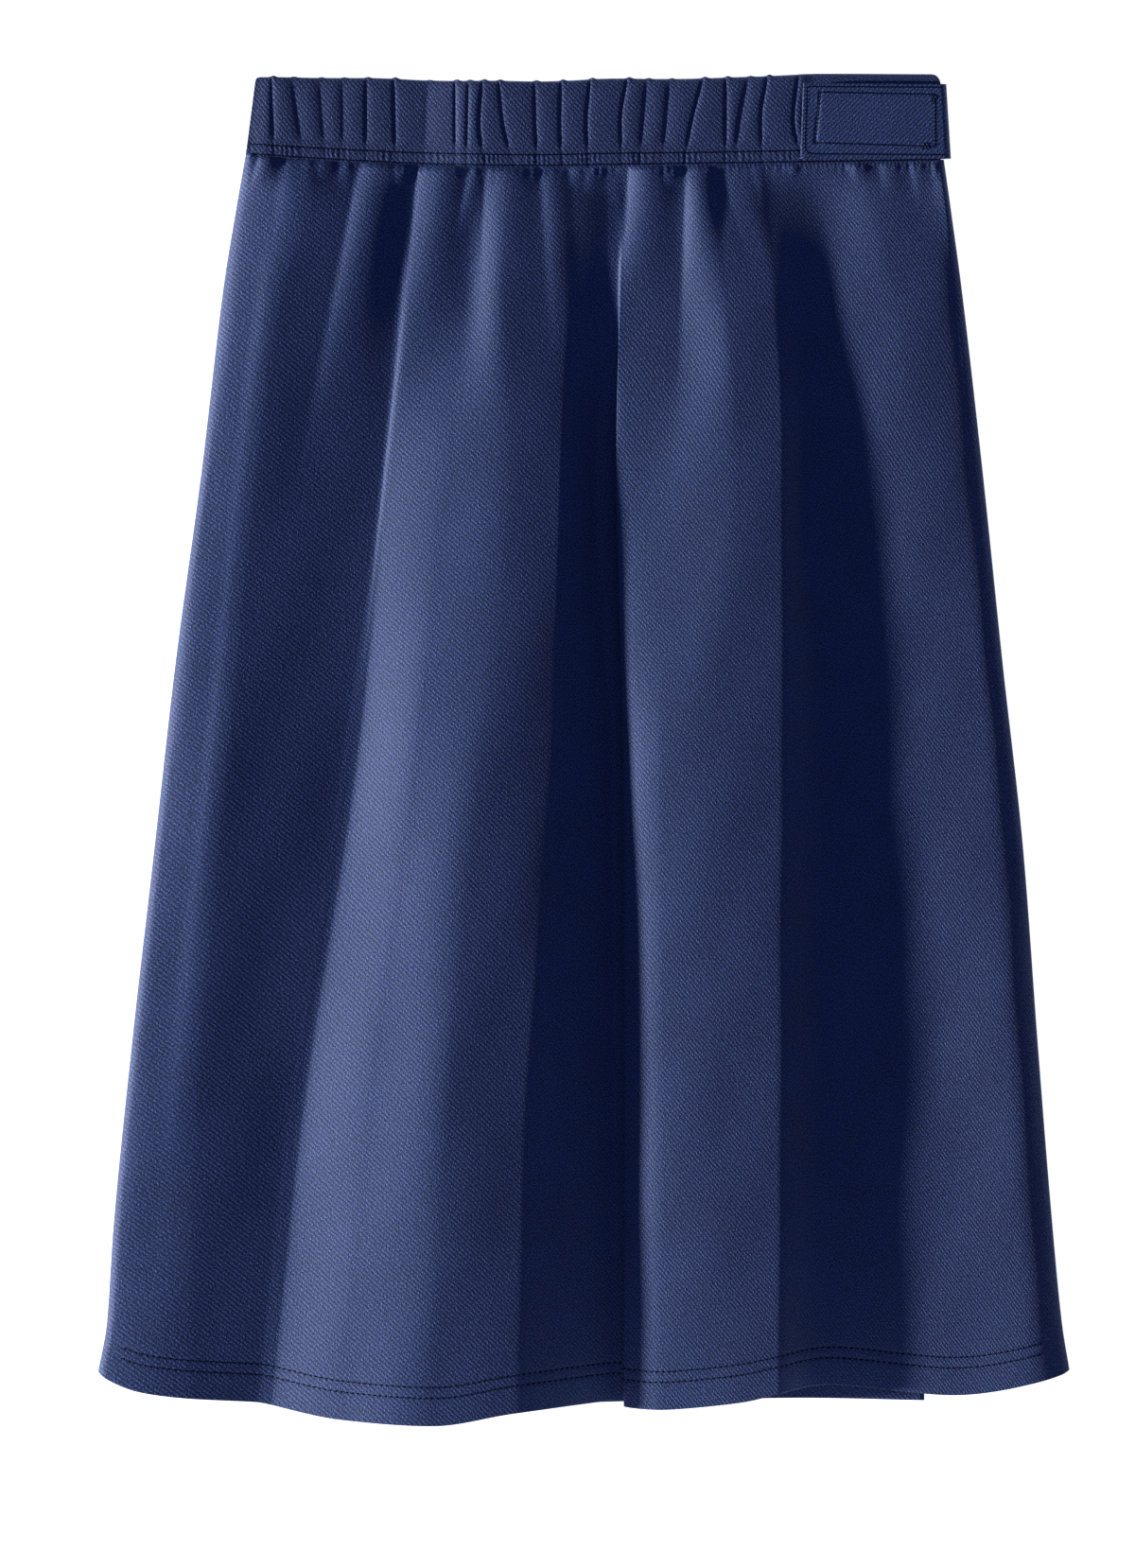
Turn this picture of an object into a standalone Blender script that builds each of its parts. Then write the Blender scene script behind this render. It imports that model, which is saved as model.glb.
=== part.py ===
"""Knee-length wrap skirt of navy double-knit twill, laid flat on a surface with its front up.

The front is one panel with an elastic casing. The outer back panel is sewn to its right side,
crosses the whole back and ends in a free edge. The inner back panel is sewn to its left side and
lies between the two. A tab on the end of the outer back's waistband comes round the left hip and
fastens on the front waistband with hook and loop tape.

Lengths are in millimetres and turn into metres where a mesh is made. +X is the wearer's left,
+Y points from the hem to the waist, +Z points up from the surface that the skirt lies on.
"""
from collections import namedtuple

import bmesh
import bpy
import numpy as np

MM = 0.001

# Walls and clearances
CLOTH = 1.2            # one layer of cloth
TURNED_HEM = 1.8       # the wall where the hem is turned up
HEM_TURN = 22.0        # height of the turned-up hem
CASING = 2.8           # waistband: cloth, elastic and cloth
TAB = 2.4              # tab: two layers of cloth
TAPE = 0.8             # hook tape and loop tape
SEAM = 0.3             # clearance at a seam, and between layers that lie on each other

# Heights of the layers, bottom to top
OUTER_BAND_FLOOR = 0.0
INNER_BAND_FLOOR = CASING + SEAM
FRONT_BAND_FLOOR_LEFT = CASING + SEAM
FRONT_BAND_FLOOR_RIGHT = INNER_BAND_FLOOR + CASING + SEAM
FRONT_FACE_LEFT = FRONT_BAND_FLOOR_LEFT + CASING
FRONT_FACE_RIGHT = FRONT_BAND_FLOOR_RIGHT + CASING
INNER_PANEL_FLOOR = CLOTH + SEAM
SIDE_ROLL = FRONT_FACE_RIGHT - INNER_BAND_FLOOR     # height of the soft fold along each side

# Where the hidden back pieces end
INNER_BAND_END = -50.0       # free end of the inner back's waistband
INNER_HEM_END = -78.0        # the same free edge at the hem
OUTER_BAND_END = 180.0       # end of the outer back's waistband, where the tab is sewn on
OUTER_HEM_END = 182.5        # the same free edge at the hem
FRONT_STEP = (-92.0, -56.0)  # the front waistband climbs onto the inner one between these
INNER_STEP = 14.0            # run over which the inner panel comes down beside the outer one
BAND_CLIMB = 60.0            # run over which panels climb to their waistbands
SIDE_SEAM_INSET = 7.0        # the side seams lie on the underside, this far from the edge
RIGHT_END = 191.2            # left-hip end of the front waistband

Waist = namedtuple("Waist", "across top seam")
WAIST = (
    Waist(-182, 360.4, 318.8),
    Waist(-131, 360.2, 315.3),
    Waist(-85, 358.9, 313.2),
    Waist(-32, 358.1, 312.1),
    Waist(16, 359.4, 312.7),
    Waist(67, 359.7, 313.4),
    Waist(128, 362.2, 314.2),
    Waist(192, 361.9, 315.2),
)
BAND_CORNER = 2.2            # radius of the waistband's upper corners
BAND_TOP_LEFT = -176.5       # the waistband's right-hip end, at its top and at the seam
BAND_SEAM_LEFT = -181.9

Outline = namedtuple("Outline", "along left right")
OUTLINE = (
    Outline(-334.5, -261.1, 260.6),
    Outline(-309.1, -256.5, 256.5),
    Outline(-258.3, -253.0, 251.5),
    Outline(-156.7, -242.8, 243.3),
    Outline(-55.1, -231.1, 235.7),
    Outline(46.5, -219.5, 224.5),
    Outline(148.1, -205.7, 213.9),
    Outline(249.7, -193.5, 202.2),
    Outline(290.3, -186.9, 196.6),
    Outline(318.8, -181.9, 192.5),
)

# Lines of the soft roll along each side: distance in from the edge, share of the roll's height,
# and where the line meets the hem on the right-hip and on the left-hip side.
Roll = namedtuple("Roll", "inset rise hem_left hem_right segments")
ROLLS = (
    Roll(SIDE_SEAM_INSET, 0.0, -338.0, -333.5, 1),
    Roll(3.0, 0.0, -336.5, -333.5, 2),
    Roll(0.0, 0.5, -334.5, -333.5, 2),
    Roll(3.0, 1.0, -337.5, -335.5, 4),
)

# The front's folds, from the right hip to the left. Each row gives a line down the panel: where
# it runs at seven depths below the waist seam, how high the cloth's outer face lies there (at the
# seam it lies on the waistband's level), where it meets the hem, and the number of mesh columns
# up to the next line.
DEPTHS = (0, 20, 65, 165, 330, 500, 664)
Fold = namedtuple("Fold", "name across lift hem segments")
FOLDS = (
    Fold("right_shoulder", (-171, -172, -177, -189, -207, -226, -240),
         (8.9, 9.2, 8.4, 9.3, 8.4, 8.4), -345.2, 4),
    Fold("right_ridge", (-151.2, -147, -161.3, -176.6, -193, -209, -215),
         (11.3, 11.8, 9.6, 11.2, 9.9, 9.4), -348.7, 18),
    Fold("right_valley", (-96, -100.3, -101, -109.4, -131, -157, -175),
         (7.3, 6.3, 4.4, 5.2, 5.6, 5.8), -351, 2),
    Fold("centre_foot", (-86.6, -90, -93.5, -105.2, -124, -150.5, -168.5),
         (7.6, 7.6, 6, 4.9, 5.3, 6.1), -352.2, 8),
    Fold("centre_rise", (-68.6, -62.7, -64, -74.8, -92, -115, -131),
         (9.3, 8.1, 14.6, 18.2, 18.6, 18.5), -359.8, 8),
    Fold("centre_ridge", (-40, -40.2, -43.4, -39, -57, -73, -82),
         (11.4, 13.3, 18.7, 24.8, 29, 28.8), -362.9, 8),
    Fold("centre_fall", (-12.6, -11, -10.8, -13.6, -19, -33, -38),
         (12, 11, 17.4, 21.4, 26.1, 26.8), -356.3, 8),
    Fold("tuck_valley", (11.3, 12.8, 13.2, 7.4, 15.5, 16, 16),
         (9.1, 6.7, 5, 4.6, 5, 6.5), -350, 2),
    Fold("tuck_inside", (15.7, 18.3, 18, 20, 24.5, 25, 25),
         (8.7, 7, 5.1, 6.6, 7, 7.8), -350.5, 2),
    Fold("tuck_edge", (21.4, 23, 19.4, 17, 20.8, 21.3, 21),
         (8.3, 8.9, 11, 10.3, 9.8, 10.7), -352.8, 8),
    Fold("left_rise", (43.9, 48.4, 50.8, 45.4, 42, 42, 41),
         (9.3, 8.3, 14.2, 18, 17.8, 17.4), -354.6, 8),
    Fold("left_ridge", (53.8, 67, 75.2, 82.1, 69, 72, 84),
         (11, 13.9, 18.1, 20, 20.2, 19.3), -350.6, 8),
    Fold("left_fall", (85.9, 88.4, 99, 105.1, 104, 103, 103),
         (10.4, 12.5, 17, 18.7, 19.1, 19.1), -346.4, 8),
    Fold("left_valley", (117.2, 126, 132, 125.1, 138, 140, 132),
         (6, 6.5, 7.7, 6.9, 6.4, 6.7), -341.5, 10),
    Fold("hip_rise", (151.5, 155.5, 166, 176.8, 180, 191, 198),
         (8.3, 8.1, 8.7, 7.6, 7.2, 7.6), -347.1, 6),
    Fold("left_shoulder", (179, 182, 190, 201, 216, 229, 240),
         (7.5, 7.5, 7.8, 8.2, 8.6, 8.8), -341, 4),
)

# Gathers that spring from the waist seam: where the sharp foot of each runs at the seam and at its
# tip, how far down it reaches, its height, and how far it swells from its foot to the left.
Gather = namedtuple("Gather", "seam tip length height width")
GATHERS = (
    Gather(-174.9, -180.8, 20, 2, 16),
    Gather(-161.6, -171, 60, 0.9, 23.1),
    Gather(-152.3, -153.8, 26, 0.8, 20.5),
    Gather(-120.9, -156.9, 185, 3.4, 42.3),
    Gather(-89.8, -100.4, 110, 4, 38),
    Gather(-62.1, -69.8, 42, 1.5, 16.4),
    Gather(-53.3, -56.6, 75, 2.9, 36.6),
    Gather(-23.8, -16.2, 120, 1.1, 17.5),
    Gather(23.5, 18.5, 90, 3.4, 34.6),
    Gather(54.2, 50.6, 130, 2.2, 23),
    Gather(71.6, 94, 70, 0.6, 27.5),
    Gather(96.2, 105.6, 80, 0.5, 46.1),
    Gather(158.4, 160.5, 22, 0.8, 15.2),
    Gather(174.2, 178.7, 30, 0.7, 11.8),
)
GATHER_START = 5.0           # depth below the seam at which a gather has its full height

# Creases that the elastic draws in the front waistband: where each runs at the band's top,
# middle and seam, and how deep it cuts between its neighbours, from 0 to 1.
Crease = namedtuple("Crease", "top middle seam cut")
CREASES = (
    Crease(-168.1, -167.6, -166.6, 0.9),
    Crease(-157.0, -153.9, -150.4, 0.6),
    Crease(-142.2, -140.7, -138.7, 0.6),
    Crease(-130.0, -129.6, -129.5, 0.5),
    Crease(-117.3, -117.3, -117.3, 0.7),
    Crease(-102.6, -102.1, -101.3, 1.0),
    Crease(-84.0, -85.0, -86.0, 0.4),
    Crease(-69.6, -69.6, -69.1, 0.9),
    Crease(-62.5, -63.0, -63.5, 0.7),
    Crease(-54.9, -56.6, -53.3, 1.0),
    Crease(-46.3, -43.7, -37.6, 0.8),
    Crease(-26.9, -26.4, -24.9, 0.8),
    Crease(-12.7, -13.2, -11.9, 1.0),
    Crease(3.0, 1.0, 2.3, 1.0),
    Crease(22.9, 19.3, 20.1, 1.0),
    Crease(33.5, 31.5, 29.5, 0.6),
    Crease(45.7, 43.7, 41.7, 0.6),
    Crease(63.5, 57.4, 53.3, 1.0),
    Crease(75.7, 75.7, 75.7, 0.9),
    Crease(87.9, 83.3, 80.2, 0.6),
    Crease(98.0, 94.5, 95.5, 1.0),
    Crease(114.7, 112.1, 117.0, 1.0),
)
PUFF_MOST = 1.6              # height of the widest puffs between two creases
PUFF_SHARE = 0.12            # a puff's height in its width
STITCHED = 0.8               # the casing's stitching starts here, as a share of its height

# The tab, in the front's plan: free end, hip end and the fold round the hip
TAB_UNDER = OUTER_BAND_END + SEAM
TAB_END_TOP = (117.3, 356.9)
TAB_END_LOW = (115.8, 316.2)
TAB_HIP_TOP = (194.1, 356.4)
TAB_HIP_LOW = (196.6, 316.7)
TAB_CHAMFER = 4.0
TAB_CORNER = 3.5             # radius of the tab's two bends round the hip
HOOK_TAPE = ((127.0, 321.8), (186.4, 352.8))
LOOP_TAPE = ((122.5, 320.4), (188.4, 354.2))
TAPE_CORNER = 2.0

NAVY = (0.032, 0.045, 0.135)
TAPE_NAVY = (0.012, 0.014, 0.03)


def smooth(at, knots, values):
    """A curve through the values at the knots that never swings past them."""
    knots = np.asarray(knots, float)
    values = np.asarray(values, float)
    step = np.diff(knots)
    rise = np.diff(values) / step
    turn = rise[:-1] * rise[1:]
    slope = np.concatenate((rise[:1], np.zeros(len(turn)), rise[-1:]))
    onward = turn > 0
    slope[1:-1][onward] = 2 * turn[onward] / (rise[:-1] + rise[1:])[onward]
    i = np.clip(np.searchsorted(knots, at) - 1, 0, len(step) - 1)
    t = np.clip((at - knots[i]) / step[i], 0, 1)
    start = values[i] * (1 + 2 * t) + slope[i] * step[i] * t
    end = values[i + 1] * (3 - 2 * t) - slope[i + 1] * step[i] * (1 - t)
    return start * (1 - t) ** 2 + end * t ** 2


def ease(t):
    """0 below 0, 1 above 1 and a soft climb between."""
    t = np.clip(t, 0, 1)
    return t * t * (3 - 2 * t)


def mix(a, b, t):
    return a + (b - a) * t


def table(rows, column):
    return [getattr(row, column) for row in rows]


def waist_top(x):
    return smooth(x, table(WAIST, "across"), table(WAIST, "top"))


def waist_seam(x):
    return smooth(x, table(WAIST, "across"), table(WAIST, "seam"))


def outline(y, side):
    return smooth(y, table(OUTLINE, "along"), table(OUTLINE, side))


def front_face(x):
    """Height of the front waistband's outer face, where it isn't gathered."""
    climb = ease((x - FRONT_STEP[0]) / (FRONT_STEP[1] - FRONT_STEP[0]))
    return mix(FRONT_FACE_LEFT, FRONT_FACE_RIGHT, climb)


def inner_climb(depth):
    """Height that the inner back adds near the waist, to reach its waistband."""
    return INNER_BAND_FLOOR * (1 - ease(depth / BAND_CLIMB))


# Meshes

def grid(points):
    """A mesh of quads through rows of points; the first row lies toward the hem."""
    rows, columns = points.shape[0] - 1, points.shape[1] - 1
    mesh = bmesh.new()
    bmesh.ops.create_grid(mesh, x_segments=columns, y_segments=rows, size=0.5)
    for vert in mesh.verts:
        column = round((vert.co.x + 0.5) * columns)
        row = round((vert.co.y + 0.5) * rows)
        vert.co = points[row, column] * MM
    return mesh


def add_piece(name, mesh, colour, roughness=0.85):
    """An object of its own, with its own material."""
    data = bpy.data.meshes.new(name)
    mesh.to_mesh(data)
    mesh.free()
    data.shade_smooth()
    material = bpy.data.materials.new(name + "_cloth")
    material.use_nodes = True
    surface = material.node_tree.nodes["Principled BSDF"]
    surface.inputs["Base Color"].default_value = (*colour, 1)
    surface.inputs["Roughness"].default_value = roughness
    surface.inputs["Metallic"].default_value = 0
    data.materials.append(material)
    piece = bpy.data.objects.new(name, data)
    bpy.context.collection.objects.link(piece)
    return piece


def thicken(piece, wall, outward, hem=None):
    """A wall on the sheet: grown down from its outer face, or up from its underside.

    With hem given, the wall is thicker within HEM_TURN of the hem that it describes.
    """
    solid = piece.modifiers.new("wall", "SOLIDIFY")
    solid.thickness = wall * MM
    solid.offset = 1 if outward else -1
    solid.use_even_offset = True
    solid.use_quality_normals = True
    if hem is not None:
        turned = piece.vertex_groups.new(name="turned_hem")
        turned.add([int(i) for i in hem], 1.0, "REPLACE")
        solid.vertex_group = turned.name
        solid.thickness = TURNED_HEM * MM
        solid.thickness_vertex_group = wall / TURNED_HEM


def hem_vertices(points):
    """Numbers of the grid's vertices in the turned-up hem, row by row from the hem."""
    rows, columns = points.shape[:2]
    turned = points[:, :, 1] < points[:1, :, 1] + HEM_TURN + SEAM
    return np.arange(rows * columns).reshape(rows, columns)[turned]


def tube(points):
    """A closed solid from rows of points that run once round it, with both ends filled."""
    mesh = grid(np.concatenate((points, points[:1])))
    bmesh.ops.remove_doubles(mesh, verts=mesh.verts, dist=MM * SEAM / 10)
    rims = [edge for edge in mesh.edges if edge.is_boundary]
    bmesh.ops.holes_fill(mesh, edges=rims, sides=0)
    bmesh.ops.recalc_face_normals(mesh, faces=mesh.faces)
    return mesh


# Front panel

def side_lines(side, v):
    """The soft roll along one side at the share v of the way down: across, along, up."""
    sign = 1 if side == "left" else -1
    base = 0.0 if side == "left" else inner_climb(v * DEPTHS[-1])
    lines = []
    for roll in ROLLS:
        y = side_level(side, roll, v)
        x = outline(y, side) + sign * roll.inset
        lines.append((x, y, base + roll.rise * SIDE_ROLL))
    return lines


def side_level(side, roll, v):
    """Where a line of the side's roll lies along the skirt at the share v of the way down."""
    if side == "left":
        return mix(waist_seam(BAND_SEAM_LEFT + roll.inset) - SEAM, roll.hem_left, v)
    return mix(waist_seam(RIGHT_END - roll.inset) - SEAM, roll.hem_right, v)


def fold_line(fold, v):
    depth = v * DEPTHS[-1]
    x = smooth(depth, DEPTHS, fold.across)
    y = mix(waist_seam(fold.across[0]) - SEAM, fold.hem, v)
    z = smooth(depth, DEPTHS, (front_face(fold.across[0]), *fold.lift))
    return x, y, z


def gathers(x, depth):
    """Height that the gathers add: each climbs sharply from its foot and runs out to the left."""
    height = np.zeros_like(x)
    for gather in GATHERS:
        grown = ease(depth / GATHER_START) * (1 - ease(depth / gather.length))
        foot = mix(gather.seam, gather.tip, min(depth / gather.length, 1))
        t = np.clip((x - foot) / gather.width, 0, 1)
        height += gather.height * grown * 6.75 * t * (1 - t) ** 2
    return height


def front_columns():
    """Positions of the mesh columns, counted in fold lines from the right-hip side seam."""
    first = [roll.segments for roll in ROLLS]
    last = first[:-1][::-1]
    segments = first + table(FOLDS, "segments") + last
    steps = [np.arange(count) / count + line for line, count in enumerate(segments)]
    return np.append(np.concatenate(steps), len(segments))


FRONT_DEPTHS = (664, 645, 600, 545, 490, 435, 380, 325, 270, 220, 175, 135,
                100, 74, 54, 38, 25, 15, 8, 3, 0)
COARSE_BELOW = 74            # under this depth the wide stretches keep every second column


def front_points():
    columns = front_columns()
    lines = np.arange(columns[-1] + 1)
    on_top = (columns >= len(ROLLS) - 1) & (columns <= lines[-1] - len(ROLLS) + 1)
    rows = []
    for depth in FRONT_DEPTHS:
        v = depth / DEPTHS[-1]
        folds = [fold_line(fold, v) for fold in FOLDS]
        across, along, up = zip(*side_lines("left", v), *folds, *side_lines("right", v)[::-1])
        x = smooth(columns, lines, across)
        y = smooth(columns, lines, along)
        z = smooth(columns, lines, up) + np.where(on_top, gathers(x, depth), 0)
        rows.append(np.stack((x, y, z), axis=1))
    return np.array(rows)


def coarsen(mesh, columns, row_count):
    """Joins pairs of columns in the wide stretches of the front, well below the gathers."""
    mesh.verts.ensure_lookup_table()
    limit = FRONT_DEPTHS.index(COARSE_BELOW)
    spare = []
    for edge in mesh.edges:
        rows = [vert.index // len(columns) for vert in edge.verts]
        numbers = [vert.index % len(columns) for vert in edge.verts]
        if numbers[0] != numbers[1] or max(rows) > limit:
            continue
        line, share = divmod(columns[numbers[0]], 1)
        wide = line_segments(int(line)) >= 4
        odd = round(share * line_segments(int(line))) % 2 == 1
        if wide and odd:
            spare.append(edge)
    bmesh.ops.dissolve_edges(mesh, edges=spare, use_verts=True)


def line_segments(line):
    first = [roll.segments for roll in ROLLS]
    segments = first + table(FOLDS, "segments") + first[:-1][::-1]
    return segments[line] if line < len(segments) else 0


def add_front_panel():
    points = front_points()
    mesh = grid(points)
    turned = set(hem_vertices(points).tolist())
    layer = mesh.verts.layers.deform.verify()
    for vert in mesh.verts:
        vert[layer][0] = 1.0 if vert.index in turned else 0.0
    coarsen(mesh, front_columns(), len(points))
    piece = add_piece("front_panel", mesh, NAVY)
    thicken(piece, CLOTH, outward=False, hem=())


# Back panels, each a sheet between a left and a right edge

Hem = namedtuple("Hem", "across along")
OUTER_HEM = (
    Hem(-261, -333.5), Hem(-238, -344.2), Hem(-210, -348.0), Hem(-161, -350.3), Hem(-85, -352.3),
    Hem(-9, -351.3), Hem(52, -349.8), Hem(118, -348.7), Hem(182, -350.0),
)
INNER_HEM = (
    Hem(-78, -339.6), Hem(-9, -339.6), Hem(143, -339.1), Hem(194, -337.6), Hem(224, -336.0),
    Hem(254, -333.5),
)
OUTER_COLUMNS = (14,)        # mesh columns between the lines that guide each back panel
INNER_COLUMNS = (11, 2, 2)


def panel_points(guides, segments, hem, underside):
    """Rows of points from the hem up, spread between the lines that guides(v) gives."""
    steps = [np.arange(count) / count + line for line, count in enumerate(segments)]
    columns = np.append(np.concatenate(steps), len(segments))
    foot = np.interp(columns, range(len(segments) + 1), guides(1.0))
    end = smooth(foot, table(hem, "across"), table(hem, "along"))
    rows = []
    for depth in FRONT_DEPTHS:
        v = depth / DEPTHS[-1]
        x = np.interp(columns, range(len(segments) + 1), guides(v))
        y = mix(waist_seam(x) - SEAM, end, v)
        rows.append(np.stack((x, y, underside(x, v)), axis=1))
    return np.array(rows)


def outer_edge(v):
    """The outer back's free edge."""
    return mix(OUTER_BAND_END, OUTER_HEM_END, v)


def outer_guides(v):
    return outline(side_level("left", ROLLS[0], v), "left") + SIDE_SEAM_INSET + SEAM, outer_edge(v)


def inner_guides(v):
    """Free edge, the line where the panel leaves the outer one, the foot of that step, side seam."""
    seam = outline(side_level("right", ROLLS[0], v), "right") - SIDE_SEAM_INSET - SEAM
    start = outer_edge(v) + 2 * SEAM
    foot = start + min(INNER_STEP, (seam - start) / 2)
    return mix(INNER_BAND_END, INNER_HEM_END, v), start, foot, seam


def on_the_surface(x, v):
    return np.zeros_like(x)


def inner_underside(x, v):
    """The inner back lies on the outer one, comes down beside it and climbs to its band."""
    start, foot = inner_guides(v)[1:3]
    depth = v * DEPTHS[-1]
    over_hem = (TURNED_HEM - CLOTH) * ease((depth - 600) / 40)
    low = (INNER_PANEL_FLOOR + over_hem) * (1 - ease((x - start) / (foot - start)))
    return mix(low, INNER_BAND_FLOOR, inner_climb(depth) / INNER_BAND_FLOOR)


def add_back_panel(name, guides, segments, hem, underside):
    points = panel_points(guides, segments, hem, underside)
    piece = add_piece(name, grid(points), NAVY)
    thicken(piece, CLOTH, outward=True, hem=hem_vertices(points))


# Waistbands

BAND_LEVELS = (1.0, 0.91, STITCHED, 0.6, 0.4, 0.2, 0.06, 0.0)   # shares of the way down
BAND_EDGE = 0.06


def band_puff(x, level):
    """Height of the casing's puffs over its flat face; past the last crease it lies flat."""
    creases = [smooth(level, (0, 0.5, 1), (row.top, row.middle, row.seam)) for row in CREASES]
    ends = np.array([BAND_TOP_LEFT - 8, *creases])
    cuts = np.array([1.0, *table(CREASES, "cut")])
    gap = np.clip(np.searchsorted(ends, x) - 1, 0, len(creases) - 1)
    width = ends[gap + 1] - ends[gap]
    t = np.clip((x - ends[gap]) / width, 0, 1)
    arch = np.sin(np.pi * t) ** 0.7
    crest = np.minimum(PUFF_MOST, PUFF_SHARE * width)
    floor = mix(1 - cuts[gap], 1 - cuts[gap + 1], t) * PUFF_MOST / 2
    held = 0.5 + 0.5 * ease(level / 0.2)
    free = held * (1 - ease((level - 0.62) / (STITCHED - 0.62)))
    return np.where(x < ends[-1], mix(floor, crest, arch) * free, 0)


def band_end(level, low, high, height):
    """A waistband's end line, straight between two points with its upper corner rounded."""
    drop = level * height
    corner = np.clip(1 - drop / BAND_CORNER, 0, 1)
    return mix(low, high, level), BAND_CORNER * (1 - np.sqrt(1 - corner ** 2)) * 0.8


def band_points(columns, ends, floor, face, puff):
    """Loops of points round a waistband: down its outer face and back along its inner one."""
    height = WAIST[0].top - WAIST[0].seam
    loops = []
    outer = [(level, face, puff) for level in BAND_LEVELS]
    inner = [(level, floor, None) for level in (BAND_EDGE, 1.0)]
    for level, surface, lift in outer + inner:
        (left, left_in), (right, right_in) = [band_end(level, *end, height) for end in ends]
        x = np.linspace(left + left_in, right - right_in, columns + 1)
        y = mix(waist_top(x), waist_seam(x), level)
        z = surface(x) + (lift(x, level) if lift else 0)
        if level == 0:
            z = (floor(x) + face(x)) / 2
        loops.append(np.stack((x, y, z), axis=1))
    return np.array(loops)


def level_at(height):
    return lambda x: np.full_like(x, height)


def no_puff(x, level):
    return np.zeros_like(x)


def add_band(name, columns, ends, floor, face, puff=no_puff):
    add_piece(name, tube(band_points(columns, ends, floor, face, puff)), NAVY)


def add_waistbands():
    left = (BAND_TOP_LEFT, BAND_SEAM_LEFT)
    hip = (RIGHT_END, RIGHT_END)
    add_band("front_waistband", 104, (left, hip), lambda x: front_face(x) - CASING, front_face,
             band_puff)
    add_band("back_outer_waistband", 24, (left, (OUTER_BAND_END, OUTER_BAND_END)),
             level_at(OUTER_BAND_FLOOR), level_at(OUTER_BAND_FLOOR + CASING))
    add_band("back_inner_waistband", 18, ((INNER_BAND_END, INNER_BAND_END), hip),
             level_at(INNER_BAND_FLOOR), level_at(INNER_BAND_FLOOR + CASING))


# Tab and tapes

TAB_FACE = FRONT_FACE_RIGHT + 2 * (TAPE + SEAM) + SEAM + TAB
TAB_ROWS = 6
TAB_RUN = 14


def tab_path(end, hip):
    """The tab's outer face in section: along under the hip, round it and over the front."""
    bend = np.linspace(0, np.pi / 2, 4)
    under = [(TAB_UNDER, 0.0)]
    low = [(hip - TAB_CORNER * (1 - np.sin(a)), TAB_CORNER * (1 - np.cos(a))) for a in bend]
    high = [(hip - TAB_CORNER * (1 - np.cos(a)), TAB_FACE - TAB_CORNER * (1 - np.sin(a))) for a in bend]
    over = [(x, TAB_FACE) for x in np.linspace(hip - TAB_CORNER, end, TAB_RUN + 1)[1:]]
    return np.array(under + low + high + over)


def tab_points():
    """Rows from the tab's lower edge to its upper one, columns from its free end to the back."""
    rows = []
    for share in np.linspace(0, 1, TAB_ROWS + 1):
        end = mix(TAB_END_LOW[0], TAB_END_TOP[0], share)
        path = tab_path(end, mix(TAB_HIP_LOW[0], TAB_HIP_TOP[0], share))[::-1]
        low = np.interp(path[:, 0], (TAB_END_LOW[0], TAB_HIP_LOW[0]), (TAB_END_LOW[1], TAB_HIP_LOW[1]))
        high = np.interp(path[:, 0], (TAB_END_TOP[0], TAB_HIP_TOP[0]), (TAB_END_TOP[1], TAB_HIP_TOP[1]))
        y = mix(low, high, share)
        rows.append(np.stack((path[:, 0], y, path[:, 1]), axis=1))
    points = np.array(rows)
    points[0, 0] += (TAB_CHAMFER * 0.6, TAB_CHAMFER * 0.25, 0)
    return points


def add_tab():
    piece = add_piece("hip_tab", grid(tab_points()), NAVY)
    thicken(piece, TAB, outward=False)


def add_tape(name, corners, floor):
    """A rectangle of tape with rounded corners."""
    (left, low), (right, high) = corners
    mesh = bmesh.new()
    bmesh.ops.create_cube(mesh, size=MM)
    for vert in mesh.verts:
        vert.co.x *= right - left
        vert.co.y *= high - low
        vert.co.z *= TAPE
        vert.co.x += (left + right) / 2 * MM
        vert.co.y += (low + high) / 2 * MM
        vert.co.z += (floor + TAPE / 2) * MM
    upright = [edge for edge in mesh.edges if abs(edge.verts[0].co.z - edge.verts[1].co.z) > MM / 2]
    bmesh.ops.bevel(mesh, geom=upright, offset=TAPE_CORNER * MM, segments=3, affect="EDGES",
                    profile=0.5)
    add_piece(name, mesh, TAPE_NAVY, roughness=0.95)


def centre_on_footprint():
    """Moves every piece so that the middle of the skirt's footprint is the origin."""
    bpy.context.view_layer.update()
    depsgraph = bpy.context.evaluated_depsgraph_get()
    corners = np.array([corner for piece in bpy.data.objects
                        for corner in piece.evaluated_get(depsgraph).bound_box])
    middle = (corners.min(axis=0) + corners.max(axis=0)) / 2
    for piece in bpy.data.objects:
        for vert in piece.data.vertices:
            vert.co.x -= middle[0]
            vert.co.y -= middle[1]


def main():
    for old in list(bpy.data.objects):
        bpy.data.objects.remove(old, do_unlink=True)
    add_front_panel()
    add_back_panel("back_outer_panel", outer_guides, OUTER_COLUMNS, OUTER_HEM, on_the_surface)
    add_back_panel("back_inner_panel", inner_guides, INNER_COLUMNS, INNER_HEM, inner_underside)
    add_waistbands()
    add_tab()
    add_tape("waistband_loop_tape", LOOP_TAPE, FRONT_FACE_RIGHT + SEAM)
    add_tape("tab_hook_tape", HOOK_TAPE, FRONT_FACE_RIGHT + TAPE + 2 * SEAM)
    centre_on_footprint()


main()
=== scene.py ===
"""Navy wrap skirt of double-knit twill, laid flat with its front up: the finish of every piece.

Shapes are worked out in millimetres, in the skirt's own plan: +X is the wearer's left, +Y points
to the waist and +Z up. in_frame() turns them into the frame's metres.
"""
from collections import namedtuple

import bmesh
import bpy
import numpy as np
from mathutils import Matrix, Vector


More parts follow.
